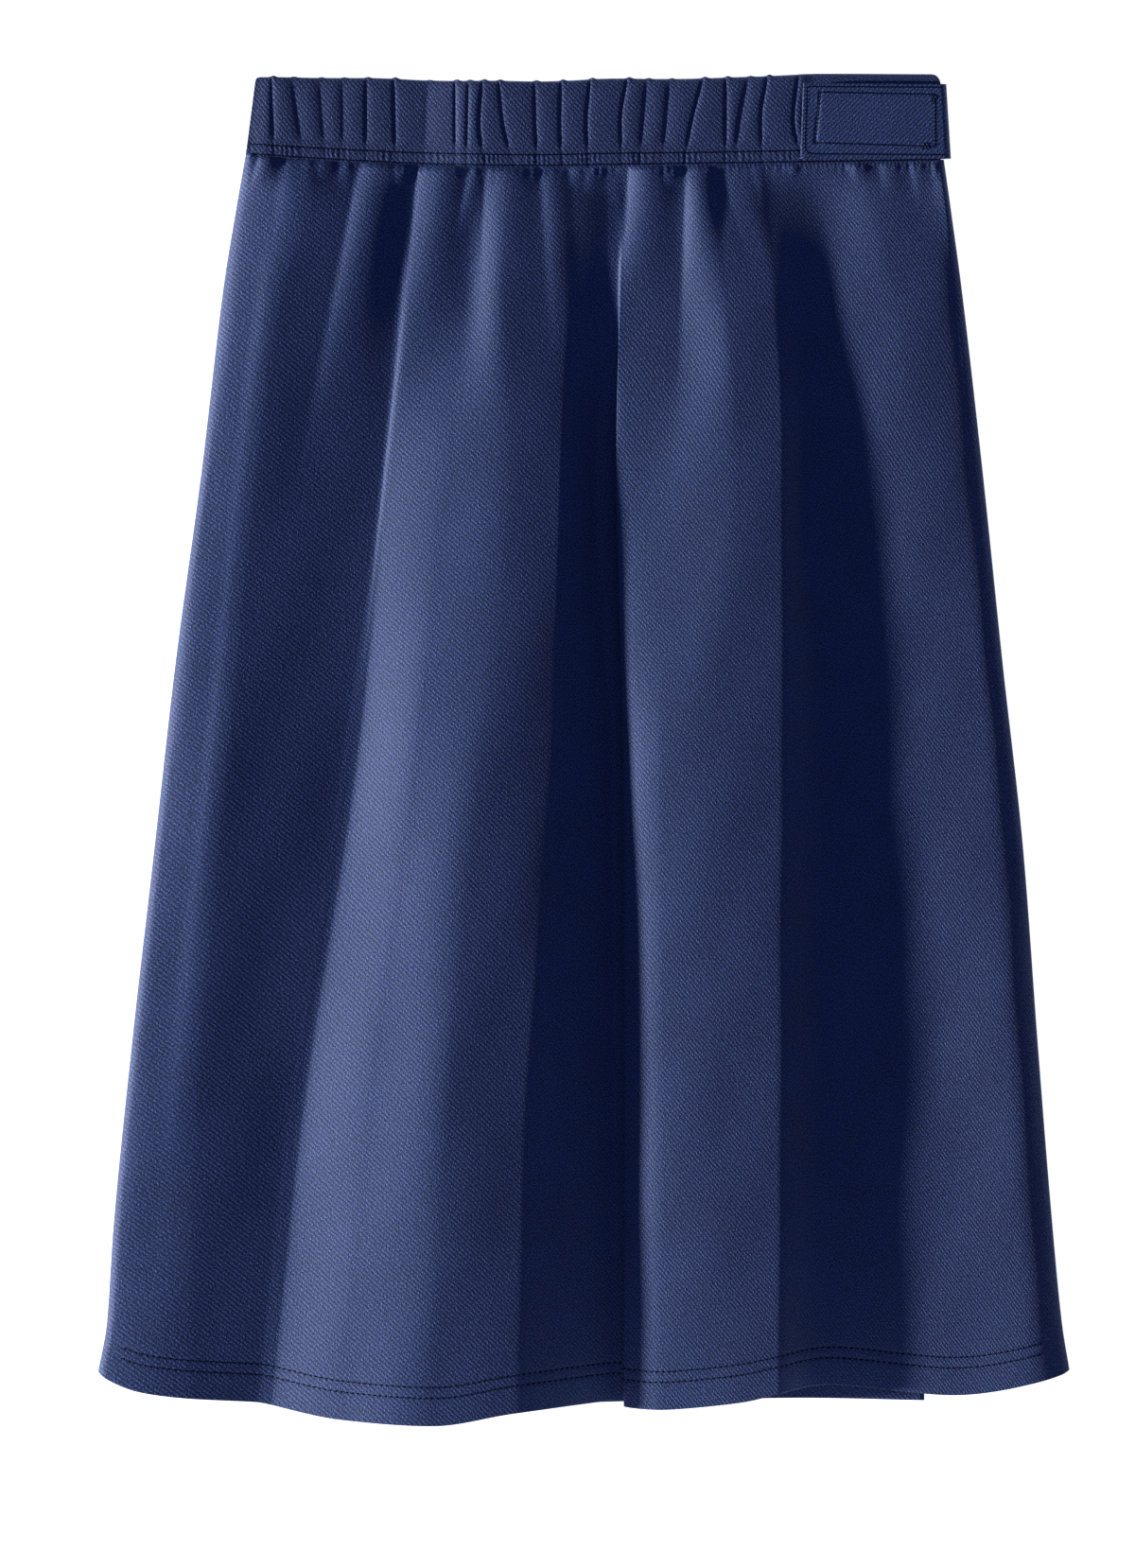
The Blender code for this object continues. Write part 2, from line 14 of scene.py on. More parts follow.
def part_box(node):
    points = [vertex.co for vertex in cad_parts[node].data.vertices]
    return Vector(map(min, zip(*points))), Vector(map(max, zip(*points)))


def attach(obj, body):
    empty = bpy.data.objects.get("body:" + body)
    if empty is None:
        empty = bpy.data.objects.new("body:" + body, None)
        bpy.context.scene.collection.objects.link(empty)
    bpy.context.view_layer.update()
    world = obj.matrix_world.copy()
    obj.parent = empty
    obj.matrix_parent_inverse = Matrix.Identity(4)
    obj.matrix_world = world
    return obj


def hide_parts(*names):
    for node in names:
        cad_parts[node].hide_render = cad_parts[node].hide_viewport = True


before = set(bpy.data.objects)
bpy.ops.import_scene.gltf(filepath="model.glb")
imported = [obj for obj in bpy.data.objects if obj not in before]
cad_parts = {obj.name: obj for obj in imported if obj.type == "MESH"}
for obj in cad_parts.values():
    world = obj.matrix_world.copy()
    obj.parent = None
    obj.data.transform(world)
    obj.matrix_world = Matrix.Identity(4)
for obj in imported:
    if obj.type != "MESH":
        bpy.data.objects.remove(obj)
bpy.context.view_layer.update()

MM = 0.001
BODY = "root"

# ---------------------------------------------------------------- sizes, in millimetres

CLOTH = 1.2
TURNED_HEM = 1.8
CASING = 2.8
TAB = 2.4
TAPE = 0.8
SEAM = 0.3

INNER_BAND_FLOOR = CASING + SEAM
FRONT_FACE_LEFT = 2 * CASING + SEAM
FRONT_FACE_RIGHT = 3 * CASING + 2 * SEAM
INNER_PANEL_FLOOR = CLOTH + SEAM
SIDE_ROLL = FRONT_FACE_RIGHT - INNER_BAND_FLOOR

INNER_BAND_END = -50.0
INNER_HEM_END = -78.0
OUTER_BAND_END = 180.0
OUTER_HEM_END = 182.5
FRONT_STEP = (-92.0, -56.0)
INNER_STEP = 14.0
BAND_CLIMB = 60.0
SIDE_SEAM_INSET = 7.0
RIGHT_END = 191.2
LOOP_TAPE_CORNER = (122.5, 320.4)

Waist = namedtuple("Waist", "across top seam")
WAIST = (
    Waist(-182, 360.4, 318.8),
    Waist(-131, 360.2, 315.3),
    Waist(-85, 358.9, 313.2),
    Waist(-32, 358.1, 312.1),
    Waist(16, 359.4, 312.7),
    Waist(67, 359.7, 313.4),
    Waist(128, 362.2, 314.2),
    Waist(192, 361.9, 315.2),
)
CASING_HEIGHT = 45.0
BAND_CORNER = 2.2
HIP_CORNER = 5.5
End = namedtuple("End", "top seam corner")
BAND_TOP_LEFT = -176.5
BAND_SEAM_LEFT = -181.9

Outline = namedtuple("Outline", "along left right")
OUTLINE = (
    Outline(-334.5, -261.1, 260.6),
    Outline(-309.1, -256.5, 256.5),
    Outline(-258.3, -253.0, 251.5),
    Outline(-156.7, -242.8, 243.3),
    Outline(-55.1, -231.1, 235.7),
    Outline(46.5, -219.5, 224.5),
    Outline(148.1, -205.7, 213.9),
    Outline(249.7, -193.5, 202.2),
    Outline(290.3, -186.9, 196.6),
    Outline(318.8, -181.9, 192.5),
)

Roll = namedtuple("Roll", "inset rise hem_left hem_right columns")
ROLLS = (
    Roll(SIDE_SEAM_INSET, 0.0, -338.0, -333.5, 2),
    Roll(3.0, 0.0, -336.5, -333.5, 5),
    Roll(0.0, 0.5, -334.5, -333.5, 5),
    Roll(3.0, 1.0, -337.5, -335.5, 12),
)

# The front's folds from the right hip to the left: where each runs at seven depths below the waist
# seam, how high it lies there (at the seam it lies level with the waistband), where it meets the
# hem, and the mesh columns up to the next one.
DEPTHS = (0, 20, 65, 165, 330, 500, 664)
Fold = namedtuple("Fold", "name across lift hem columns")
FOLDS = (
    Fold("right_shoulder", (-171, -172, -177, -189, -207, -226, -240),
         (8.9, 9.2, 8.4, 9.3, 8.4, 8.4), -345.2, 12),
    Fold("right_ridge", (-151.2, -147, -161.3, -176.6, -193, -209, -215),
         (11.3, 11.8, 9.6, 11.2, 9.9, 9.4), -348.7, 50),
    Fold("right_valley", (-96, -100.3, -101, -109.4, -131, -157, -175),
         (7.3, 6.3, 4.4, 5.2, 5.6, 5.8), -351, 10),
    Fold("centre_foot", (-86.6, -90, -93.5, -105.2, -124, -150.5, -168.5),
         (7.6, 7.6, 6, 4.9, 5.3, 6.1), -352.2, 26),
    Fold("centre_rise", (-68.6, -62.7, -64, -74.8, -92, -115, -131),
         (9.3, 8.1, 14.6, 18.2, 18.6, 18.5), -359.8, 26),
    Fold("centre_ridge", (-40, -40.2, -43.4, -39, -57, -73, -82),
         (11.4, 13.3, 18.7, 24.8, 29, 28.8), -362.9, 20),
    Fold("centre_fall", (-12.6, -11, -10.8, -13.6, -19, -33, -38),
         (12, 11, 17.4, 21.4, 26.1, 26.8), -356.3, 28),
    Fold("tuck_valley", (11.3, 12.8, 13.2, 7.4, 15.5, 16, 16),
         (9.1, 6.7, 5, 4.6, 5, 6.5), -350, 5),
    Fold("tuck_inside", (15.7, 18.3, 18, 20, 24.5, 25, 25),
         (8.7, 7, 5.1, 6.6, 7, 7.8), -350.5, 5),
    Fold("tuck_edge", (21.4, 23, 19.4, 17, 20.8, 21.3, 21),
         (8.3, 8.9, 11, 10.3, 9.8, 10.7), -352.8, 20),
    Fold("left_rise", (43.9, 48.4, 50.8, 45.4, 42, 42, 41),
         (9.3, 8.3, 14.2, 18, 17.8, 17.4), -354.6, 24),
    Fold("left_ridge", (53.8, 67, 75.2, 82.1, 69, 72, 84),
         (11, 13.9, 18.1, 20, 20.2, 19.3), -350.6, 26),
    Fold("left_fall", (85.9, 88.4, 99, 105.1, 104, 103, 103),
         (10.4, 12.5, 17, 18.7, 19.1, 19.1), -346.4, 28),
    Fold("left_valley", (117.2, 126, 132, 125.1, 138, 140, 132),
         (6, 6.5, 7.7, 6.9, 6.4, 6.7), -341.5, 34),
    Fold("hip_rise", (151.5, 155.5, 166, 176.8, 180, 191, 198),
         (8.3, 8.1, 8.7, 7.6, 7.2, 7.6), -347.1, 26),
    Fold("left_shoulder", (179, 182, 190, 201, 216, 229, 240),
         (7.5, 7.5, 7.8, 8.2, 8.6, 8.8), -341, 12),
)

# Gathers below the waist seam: where each one's sharp foot runs, and how far it swells to the left
Gather = namedtuple("Gather", "seam tip length height width")
GATHERS = (
    Gather(-174.9, -180.8, 20, 2, 16),
    Gather(-161.6, -171, 60, 0.9, 23.1),
    Gather(-152.3, -153.8, 26, 0.8, 20.5),
    Gather(-142.9, -143.7, 12, 1, 14.4),
    Gather(-131.6, -132.2, 17, 1, 13.3),
    Gather(-120.9, -156.9, 185, 3.4, 42.3),
    Gather(-101.5, -101.5, 14, 0.8, 13.1),
    Gather(-89.8, -100.4, 110, 4, 38),
    Gather(-62.1, -69.8, 42, 1.5, 16.4),
    Gather(-53.3, -56.6, 75, 2.9, 36.6),
    Gather(-28.9, -26.9, 10, 0.6, 2.8),
    Gather(-23.8, -16.2, 120, 1.1, 17.5),
    Gather(-8, -8.2, 12, 0.9, 14.4),
    Gather(1.5, -0.6, 16, 0.8, 12.4),
    Gather(23.5, 18.5, 90, 3.4, 34.6),
    Gather(41.6, 43.9, 14, 1.1, 17.3),
    Gather(54.2, 50.6, 130, 2.2, 23),
    Gather(71.6, 94, 70, 0.6, 27.5),
    Gather(89.4, 94.8, 28, 0.4, 10.9),
    Gather(96.2, 105.6, 80, 0.5, 46.1),
    Gather(108.9, 110.3, 10, 0.7, 5.8),
    Gather(140.1, 144.9, 14, 1.4, 15.6),
    Gather(158.4, 160.5, 22, 0.8, 15.2),
    Gather(174.2, 178.7, 30, 0.7, 11.8),
    Gather(186, 189, 14, 0.8, 5),
)
GATHER_START = 5.0           # depth over which a gather grows to its height
GATHER_AT_SEAM = 0.35        # share of that depth already run at the seam
GATHER_PEAK = 6.75           # brings the swelling's highest point to the gather's height

# Creases drawn by the elastic: across at the casing's top, middle and seam, how deep each cuts
# from 0 to 1, and how many times softer than a sharp fold it is
Crease = namedtuple("Crease", "top middle seam cut soft")
CREASES = (
    Crease(-168.1, -167.6, -166.6, 0.9, 1.6),
    Crease(-157.0, -153.9, -150.4, 0.6, 4.0),
    Crease(-142.2, -140.7, -138.7, 0.6, 4.5),
    Crease(-130.0, -129.6, -129.5, 0.5, 3.5),
    Crease(-117.3, -117.3, -117.3, 0.7, 1.6),
    Crease(-102.6, -102.1, -101.3, 1.0, 1.0),
    Crease(-84.0, -85.0, -86.0, 0.4, 5.0),
    Crease(-69.6, -69.6, -69.1, 0.9, 1.0),
    Crease(-62.5, -63.0, -63.5, 0.7, 1.0),
    Crease(-54.9, -56.6, -53.3, 1.0, 1.0),
    Crease(-46.3, -43.7, -37.6, 0.8, 1.0),
    Crease(-26.9, -26.4, -24.9, 0.8, 1.2),
    Crease(-12.7, -13.2, -11.9, 1.0, 1.0),
    Crease(3.0, 1.0, 2.3, 1.0, 1.0),
    Crease(22.9, 19.3, 20.1, 1.0, 1.0),
    Crease(33.5, 31.5, 29.5, 0.6, 3.0),
    Crease(45.7, 43.7, 41.7, 0.6, 3.0),
    Crease(63.5, 57.4, 53.3, 1.0, 1.0),
    Crease(75.7, 75.7, 75.7, 0.9, 1.1),
    Crease(87.9, 83.3, 80.2, 0.6, 2.5),
    Crease(98.0, 94.5, 95.5, 1.0, 1.0),
    Crease(114.7, 112.1, 117.0, 1.0, 1.0),
)
PUFF_MOST = 1.15             # how high the cloth puffs between two creases, at most
PUFF_SHARE = 0.2             # and as a share of the distance between them
STITCHED = 0.8               # share of the casing's height, from its top, down to its stitching
SEWN_UNDER = 0.5             # how far the front dips where it goes under the casing
END_ROLL = 11.0              # width over which the casing rolls down at the right hip
END_DROP = 1.1
LAST_PUFF = 9.0              # width of the last puff, where the flat end begins
CREASE_CLIMB = 1.0           # width of a sharp crease on the side that climbs from it
CREASE_ROLL = 0.5            # and on the side that rolls into it

TAB_UNDER = OUTER_BAND_END + SEAM
TAB_END_TOP = (117.3, 356.9)
TAB_END_LOW = (115.8, 316.2)
TAB_HIP_TOP = (194.1, 356.4)
TAB_HIP_LOW = (196.6, 316.7)
TAB_CHAMFER = 4.0
TAB_CORNER = 3.5
TAB_FACE = FRONT_FACE_RIGHT + 2 * (TAPE + SEAM) + SEAM + TAB

# Stitching
HEM_ROWS = (14.7, 20.4)            # rows of the twin needle, up from the hem's edge
HEM_TURN = HEM_ROWS[-1] + 1.5      # height of the turned-up hem
CASING_ROWS = (0.8, 6.4)           # rows of the twin needle, up from the casing's seam
ROW_GROOVE = 0.7                   # half width of the groove along a row of stitches
HEM_GROOVE = 0.22                  # its depth in the hem
THREAD = 0.42                      # thickness of the thread
# The needle's punctures are dark ellipsoids of painted shade: these are their half sizes.
NEEDLE_HOLE = (0.55, 0.38)         # half width and half height
HEM_STITCH = (1.9, 1.2)            # length of a stitch and of the gap after it
CASING_STITCH = (1.3, 0.6)
TAB_STITCH = (1.5, 0.5)
BACKTACK_STITCH = (1.4, 0.3)

# The photograph's frame
MM_PER_PIXEL = 0.508
FRAME_PIXELS = (1200, 1658)
FRAME_CENTRE = (-9.1, -19.0)
CAMERA_HEIGHT = 8000.0
SENSOR = 36.0


# ---------------------------------------------------------------- curves and layers

def smooth(at, knots, values):
    """A curve through the values at the knots that never swings past them."""
    knots = np.asarray(knots, float)
    values = np.asarray(values, float)
    step = np.diff(knots)
    rise = np.diff(values) / step
    turn = rise[:-1] * rise[1:]
    slope = np.concatenate((rise[:1], np.zeros(len(turn)), rise[-1:]))
    onward = turn > 0
    slope[1:-1][onward] = 2 * turn[onward] / (rise[:-1] + rise[1:])[onward]
    i = np.clip(np.searchsorted(knots, at) - 1, 0, len(step) - 1)
    t = np.clip((at - knots[i]) / step[i], 0, 1)
    start = values[i] * (1 + 2 * t) + slope[i] * step[i] * t
    end = values[i + 1] * (3 - 2 * t) - slope[i + 1] * step[i] * (1 - t)
    return start * (1 - t) ** 2 + end * t ** 2


def ease(t):
    t = np.clip(t, 0, 1)
    return t * t * (3 - 2 * t)


def mix(a, b, t):
    return a + (b - a) * t


def table(rows, column):
    return [getattr(row, column) for row in rows]


def waist_top(x):
    return smooth(x, table(WAIST, "across"), table(WAIST, "top"))


def waist_seam(x):
    return smooth(x, table(WAIST, "across"), table(WAIST, "seam"))


def outline(y, side):
    return smooth(y, table(OUTLINE, "along"), table(OUTLINE, side))


def front_face(x):
    climb = ease((x - FRONT_STEP[0]) / (FRONT_STEP[1] - FRONT_STEP[0]))
    return mix(FRONT_FACE_LEFT, FRONT_FACE_RIGHT, climb)


def inner_climb(depth):
    return INNER_BAND_FLOOR * (1 - ease(depth / BAND_CLIMB))


def spaced(counts):
    """Column places, counted in guide lines: so many columns between each two of them."""
    steps = [np.arange(count) / count + line for line, count in enumerate(counts)]
    return np.append(np.concatenate(steps), len(counts))


# ---------------------------------------------------------------- meshes

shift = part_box("waistband_loop_tape")[0]
SHIFT = np.array([shift[0] - LOOP_TAPE_CORNER[0] * MM, shift[1] - LOOP_TAPE_CORNER[1] * MM, 0])


def in_frame(points):
    """Millimetres in the skirt's plan to metres in the frame."""
    return np.asarray(points, float) * MM + SHIFT


def sheet(name, points, threads):
    """A grid of cloth through rows of points; threads holds each point's place on the flat cloth."""
    rows, columns = points.shape[0] - 1, points.shape[1] - 1
    form = bmesh.new()
    form.loops.layers.uv.new("cloth")
    bmesh.ops.create_grid(form, x_segments=columns, y_segments=rows, size=0.5)
    mesh = bpy.data.meshes.new(name)
    form.to_mesh(mesh)
    form.free()
    flat = np.empty(len(mesh.vertices) * 3)
    mesh.vertices.foreach_get("co", flat)
    flat = flat.reshape(-1, 3) + 0.5
    column = np.rint(flat[:, 0] * columns).astype(int)
    row = np.rint(flat[:, 1] * rows).astype(int)
    mesh.vertices.foreach_set("co", in_frame(points[row, column]).ravel())
    corner = np.empty(len(mesh.loops), dtype=np.int32)
    mesh.loops.foreach_get("vertex_index", corner)
    mesh.uv_layers["cloth"].data.foreach_set("uv", (threads[row, column][corner] * MM).ravel())
    mesh.update()
    return mesh


def add_cloth(name, mesh, finish, node=None):
    mesh.shade_smooth()
    mesh.materials.append(finish)
    piece = bpy.data.objects.new(name, mesh)
    bpy.context.collection.objects.link(piece)
    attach(piece, BODY)
    if node:
        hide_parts(node)
    return piece


def wall(piece, thickness, outward=False, turned=None):
    """Gives a sheet its wall; turned holds the vertices in the thicker, turned-up hem."""
    solid = piece.modifiers.new("wall", "SOLIDIFY")
    solid.offset = 1 if outward else -1
    solid.use_quality_normals = True
    solid.thickness = thickness * MM
    if turned is not None:
        group = piece.vertex_groups.new(name="turned_hem")
        group.add([int(i) for i in turned], 1.0, "REPLACE")
        solid.vertex_group = group.name
        solid.thickness = TURNED_HEM * MM
        solid.thickness_vertex_group = thickness / TURNED_HEM


def running(step):
    """Length from each row's start to each of its points, from the steps between them."""
    return np.concatenate((np.zeros((len(step), 1)), np.cumsum(step, axis=1)), axis=1)


def across_steps(points):
    return np.hypot(np.diff(points[:, :, 0], axis=1), np.diff(points[:, :, 2], axis=1))


def grain(points, stretch=0.0):
    """Each point's place on the flat cloth: along its row from the middle, and up the skirt."""
    run = running(across_steps(points))
    middle = np.argmin(np.abs(points[-1, :, 0]))
    run = run - run[:, middle:middle + 1]
    run = run + stretch * run * run * MM
    return np.stack((run, points[:, :, 1]), axis=2)


# ---------------------------------------------------------------- front panel

def side_lines(side, v):
    sign = 1 if side == "left" else -1
    base = 0.0 if side == "left" else inner_climb(v * DEPTHS[-1])
    lines = []
    for roll in ROLLS:
        y = side_level(side, roll, v)
        lines.append((outline(y, side) + sign * roll.inset, y, base + roll.rise * SIDE_ROLL))
    return lines


def side_level(side, roll, v):
    if side == "left":
        return mix(waist_seam(BAND_SEAM_LEFT + roll.inset) - SEAM, roll.hem_left, v)
    return mix(waist_seam(RIGHT_END - roll.inset) - SEAM, roll.hem_right, v)


def fold_line(fold, v):
    depth = v * DEPTHS[-1]
    x = smooth(depth, DEPTHS, fold.across)
    y = mix(waist_seam(fold.across[0]) - SEAM, fold.hem, v)
    z = smooth(depth, DEPTHS, (front_face(fold.across[0]), *fold.lift))
    return x, y, z


def gathers(x, depth):
    height = np.zeros_like(x)
    for gather in GATHERS:
        grown = ease(depth / GATHER_START + GATHER_AT_SEAM) * (1 - ease(depth / gather.length))
        foot = mix(gather.seam, gather.tip, min(depth / gather.length, 1))
        t = np.clip((x - foot) / gather.width, 0, 1)
        height += gather.height * grown * GATHER_PEAK * t * (1 - t) ** 2
    return height


def puckers(x, depth):
    """Small pillows that the casing's lower stitching draws in the cloth under it."""
    beat = np.sin(2 * np.pi * x / 4.7 + 1.9 * np.sin(x / 7.3)) * (0.6 + 0.4 * np.sin(x / 5.3))
    return 0.2 * beat * ease(depth / 1.6) * (1 - ease((depth - 1) / 6))


def lie(x, y):
    """The cloth's slight unevenness."""
    return (0.35 * np.sin(x / 19 + y / 83) * np.sin(y / 61 + 1.3)
            + 0.22 * np.sin(x / 8.3 - y / 47 + 0.6) * np.sin(y / 29 - x / 71))


FRONT_COLUMNS = spaced(table(ROLLS, "columns") + table(FOLDS, "columns")
                       + table(ROLLS, "columns")[-2::-1])


def front_row(depth, columns=FRONT_COLUMNS):
    """The front's outer face at one depth below the waist seam: points across it."""
    lines = np.arange(len(FOLDS) + 2 * len(ROLLS))
    v = depth / DEPTHS[-1]
    folds = [fold_line(fold, v) for fold in FOLDS]
    across, along, up = zip(*side_lines("left", v), *folds, *side_lines("right", v)[::-1])
    x = smooth(columns, lines, across)
    y = smooth(columns, lines, along)
    z = smooth(columns, lines, up)
    top = np.minimum(columns, lines[-1] - columns) - (len(ROLLS) - 1)
    on_top = ease(top * 2)
    below = np.clip(depth / 60, 0, 1)
    z = z + on_top * (gathers(x, depth) + puckers(x, depth) + lie(x, y) * below)
    for row in HEM_ROWS:
        z = z - on_top * HEM_GROOVE * np.exp(-((DEPTHS[-1] - depth - row) / ROW_GROOVE) ** 2)
    z = z - on_top * SEWN_UNDER * (1 - ease((depth + 0.3) / 0.6))
    return np.stack((x, y, z), axis=1)


def front_depths():
    """Fine rows under the waist seam and in the hem, wider ones between."""
    low = [0, 0.8, 2.2, 4.5, 7.5, 10.5, 12.5, 13.7, 14.7, 15.7, 17.5, 19.4, 20.4, 21.4, 23.5, 27]
    high = np.concatenate(([-1.2, -0.3], np.arange(0.2, 6, 0.8), np.arange(6, 30, 2.0),
                           np.arange(30, 90, 4.0)))
    between = np.linspace(90, DEPTHS[-1] - 33, 66)
    return np.concatenate((high, between, DEPTHS[-1] - np.array(low[::-1])))[::-1]


def in_the_hem(depths, points):
    """Numbers of the points in the rows of the turned-up hem."""
    return np.nonzero(np.repeat(DEPTHS[-1] - depths < HEM_TURN, points.shape[1]))[0]


def add_front_panel(finish):
    depths = front_depths()
    points = np.array([front_row(depth) for depth in depths])
    mesh = sheet("front_panel_cloth", points, grain(points, stretch=0.65))
    piece = add_cloth("front_panel_cloth", mesh, finish, "front_panel")
    wall(piece, CLOTH, turned=in_the_hem(depths, points))
    return piece


# ---------------------------------------------------------------- back panels

Hem = namedtuple("Hem", "across along")
OUTER_HEM = (
    Hem(-261, -333.5), Hem(-238, -344.2), Hem(-210, -348.0), Hem(-161, -350.3), Hem(-85, -352.3),
    Hem(-9, -351.3), Hem(52, -349.8), Hem(118, -348.7), Hem(182, -350.0),
)
INNER_HEM = (
    Hem(-78, -339.6), Hem(-9, -339.6), Hem(143, -339.1), Hem(194, -337.6), Hem(224, -336.0),
    Hem(254, -333.5),
)


def outer_edge(v):
    return mix(OUTER_BAND_END, OUTER_HEM_END, v)


def outer_guides(v):
    return outline(side_level("left", ROLLS[0], v), "left") + SIDE_SEAM_INSET + SEAM, outer_edge(v)


def inner_guides(v):
    seam = outline(side_level("right", ROLLS[0], v), "right") - SIDE_SEAM_INSET - SEAM
    start = outer_edge(v) + 2 * SEAM
    return (mix(INNER_BAND_END, INNER_HEM_END, v), start,
            start + min(INNER_STEP, (seam - start) / 2), seam)


def on_the_surface(x, v):
    return np.zeros_like(x)


def inner_underside(x, v):
    start, foot = inner_guides(v)[1:3]
    depth = v * DEPTHS[-1]
    over_hem = (TURNED_HEM - CLOTH) * ease((depth - 600) / 40)
    low = (INNER_PANEL_FLOOR + over_hem) * (1 - ease((x - start) / (foot - start)))
    return mix(low, INNER_BAND_FLOOR, inner_climb(depth) / INNER_BAND_FLOOR)


def back_row(guides, counts, hem, underside, depth):
    columns = spaced(counts)
    lines = range(len(counts) + 1)
    foot = np.interp(columns, lines, guides(1.0))
    end = smooth(foot, table(hem, "across"), table(hem, "along"))
    v = depth / DEPTHS[-1]
    x = np.interp(columns, lines, guides(v))
    y = mix(waist_seam(x) - SEAM, end, v)
    return np.stack((x, y, underside(x, v)), axis=1)


def add_back_panel(name, node, guides, counts, hem, underside, finish):
    depths = front_depths()
    points = np.array([back_row(guides, counts, hem, underside, depth) for depth in depths])
    piece = add_cloth(name, sheet(name, points, grain(points)), finish, node)
    wall(piece, CLOTH, outward=True, turned=in_the_hem(depths, points))
    return piece


# ---------------------------------------------------------------- waistbands

BAND_HEIGHTS = (0, 0.4, 0.8, 1.2, 2.0, 3.0, 4.0, 5.0, 5.8, 6.4, 7.0, 8.0, 9.5, 11, 12.5, 14, 15.5, 17,
                18.5, 20, 21.5, 23, 24.5, 26, 27.5, 29, 30.5, 32, 33.5, 35, 36.5, 38, 39.5, 41, 42.4,
                43.4, 44.2, 44.7, 45)
BAND_INSIDE = (0.012, 0.03, 0.08, 0.5, 1.0)
FOLD_RADIUS = 0.055


def crease_lines(level):
    return np.array([smooth(level, (0, 0.5, 1), (row.top, row.middle, row.seam)) for row in CREASES])


def band_puff(x, level):
    """Flat pleats between the creases: each climbs sharply from one and rolls into the next."""
    lines = crease_lines(level)
    ends = np.array([BAND_TOP_LEFT - 8, *lines, lines[-1] + LAST_PUFF])
    cuts = np.array([1.0, *table(CREASES, "cut"), 0.0])
    soft = np.array([5.0, *table(CREASES, "soft"), 1.0])
    gap = np.clip(np.searchsorted(ends, x) - 1, 0, len(ends) - 2)
    width = ends[gap + 1] - ends[gap]
    run = np.clip(x - ends[gap], 0, width)
    climb = 1 - cuts[gap] * np.exp(-run / (CREASE_CLIMB * soft[gap]))
    roll = 1 - cuts[gap + 1] * np.exp(-(width - run) / (CREASE_ROLL * soft[gap + 1]))
    crest = np.minimum(PUFF_MOST, PUFF_SHARE * width) * (0.8 + 0.2 * np.sin(np.pi * run / width))
    held = 0.55 + 0.45 * ease(level / 0.2)
    free = held * (1 - 0.75 * ease((level - 0.7) / (STITCHED - 0.7)))
    fade = np.where(gap == len(ends) - 2, 1 - ease(run / width), 1)
    return crest * climb * roll * free * fade


def casing_stitching(x, level):
    """Small ribs between the two rows of stitches, and the rows' own grooves."""
    height = CASING_HEIGHT * (1 - level)
    low, high = CASING_ROWS
    beat = np.sin(2 * np.pi * x / 2.9 + 1.9 * np.sin(x / 3.7) + 2.3 * np.sin(x / 9.7) + height / 5)
    beat = beat * (0.6 + 0.4 * np.sin(x / 4.3 + 1))
    between = ease((height - low) / 1.0) * (1 - ease((height - high + 0.8) / 1.6))
    held = sum(np.exp(-((height - row) / ROW_GROOVE) ** 2) for row in CASING_ROWS)
    return 0.13 * beat * between * (1 - ease((x - 108) / 8)) - 0.3 * held


def top_bumps(x):
    """The casing's fold stands up a little beside each crease."""
    bumps = [row.cut * np.exp(-((x - row.top - 1.2) / 1.6) ** 2) for row in CREASES[:-1]]
    return 0.9 * sum(bumps) + 0.25 * np.sin(x / 9.7) * (x < CREASES[-1].top)


def band_end(level, end, height):
    turn = np.clip(1 - level * height / end.corner, 0, 1)
    return mix(end.top, end.seam, level), end.corner * (1 - np.sqrt(1 - turn ** 2)) * 0.9


def band_points(columns, ends, floor, face, puff, bumps=None):
    """Loops round a waistband: up its outer face from the seam, over its fold and down inside."""
    height = WAIST[0].top - WAIST[0].seam
    loops = []
    for inside, steps in ((False, 1 - np.array(BAND_HEIGHTS) / CASING_HEIGHT), (True, BAND_INSIDE)):
        for level in steps:
            (left, left_in), (right, right_in) = [band_end(level, end, height) for end in ends]
            x = np.linspace(left + left_in, right - right_in, columns + 1)
            top = waist_top(x) + (bumps(x) if bumps else 0)
            y = mix(top, waist_seam(x), level)
            turn = np.clip(1 - level / FOLD_RADIUS, 0, 1)
            middle = (floor(x) + face(x)) / 2
            half = (face(x) - floor(x)) / 2 * np.sqrt(1 - turn ** 2)
            z = middle - half if inside else middle + half + puff(x, level) * np.sqrt(1 - turn ** 2)
            loops.append(np.stack((x, y, z), axis=1))
    return np.array(loops)


def band_grain(points):
    """Flat places on a casing: across by developed length, and round it by the loop's length."""
    step = np.linalg.norm(np.diff(points, axis=0), axis=2)
    around = np.concatenate((np.zeros((1, points.shape[1])), np.cumsum(step, axis=0)))
    run = running(across_steps(points))
    return np.stack((np.broadcast_to(run.mean(axis=0), run.shape), around), axis=2)


def add_band(name, node, columns, ends, floor, face, puff, finish, bumps=None):
    points = band_points(columns, ends, floor, face, puff, bumps)
    points = np.concatenate((points, points[:1]))
    mesh = sheet(name, points, band_grain(points))
    form = bmesh.new()
    form.from_mesh(mesh)
    bmesh.ops.remove_doubles(form, verts=form.verts, dist=1e-6)
    bmesh.ops.holes_fill(form, edges=[edge for edge in form.edges if edge.is_boundary], sides=0)
    bmesh.ops.recalc_face_normals(form, faces=form.faces)
    form.to_mesh(mesh)
    form.free()
    add_cloth(name, mesh, finish, node)


def level_at(height):
    return lambda x: np.full_like(x, height)


def front_puff(x, level):
    end = mix(BAND_TOP_LEFT, BAND_SEAM_LEFT, level)
    rolled = ease((x - end) / END_ROLL) - 1
    return band_puff(x, level) + casing_stitching(x, level) + END_DROP * rolled


def back_puff(x, level):
    """The back casings' gathers, pressed flat between the layers."""
    beat = np.sin(2 * np.pi * x / 13 + 1.6 * np.sin(x / 21))
    return 0.12 * beat * (1 - ease((level - 0.62) / 0.18))


